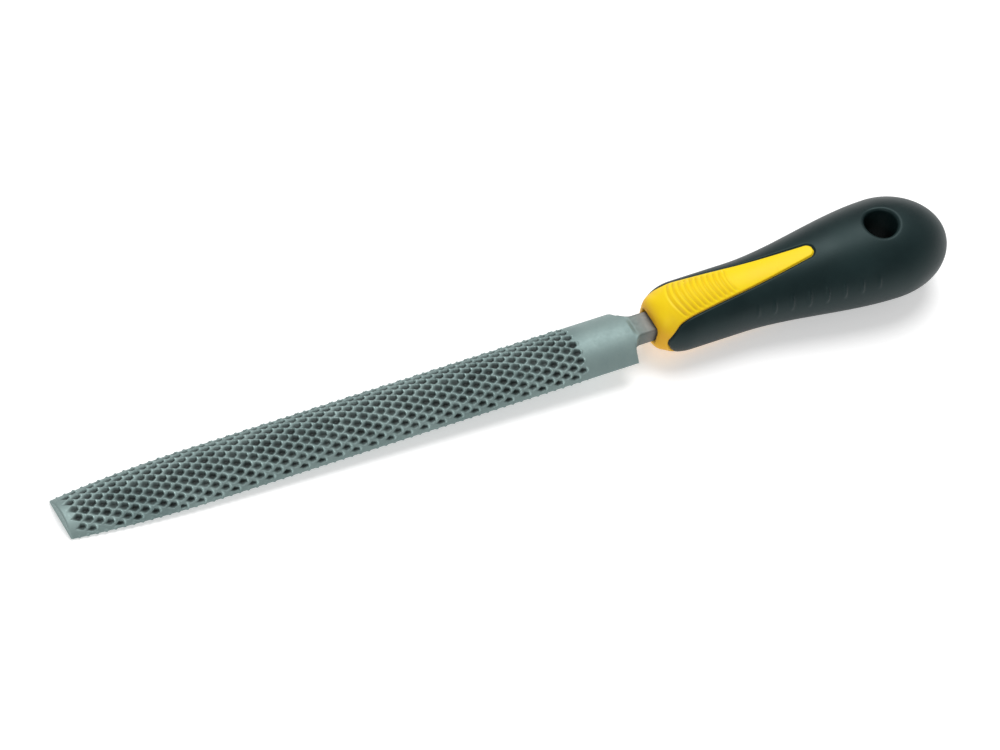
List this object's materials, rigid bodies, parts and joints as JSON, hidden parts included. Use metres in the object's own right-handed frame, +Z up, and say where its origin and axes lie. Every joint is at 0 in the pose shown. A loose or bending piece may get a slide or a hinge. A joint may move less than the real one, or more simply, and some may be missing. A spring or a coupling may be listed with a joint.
{
  "type": "wood rasp",
  "caption": "Half-round wood rasp: tapered steel blade with punched teeth on both faces, tang set in a swelling two-colour handle with a hanging hole.",
  "frame": {"origin": "bottom centre of the bounding box, on the bench the rasp lies on", "axes": "+X from the blade's tip to the handle's butt, +Y across the blade, +Z up; the rasp lies flat face down"},
  "size_m": [0.3176, 0.0342, 0.0309],
  "materials": {
    "blade_steel": "satin grey tool steel with bright tooth tips",
    "core_plastic": "smooth moulded yellow polypropylene",
    "grip_rubber": "satin black thermoplastic rubber"
  },
  "bodies": {
    "root": {"rasp_blade": "blade_steel", "handle_core": "core_plastic", "grip_sleeve": "grip_rubber"}
  },
  "joints": []
}
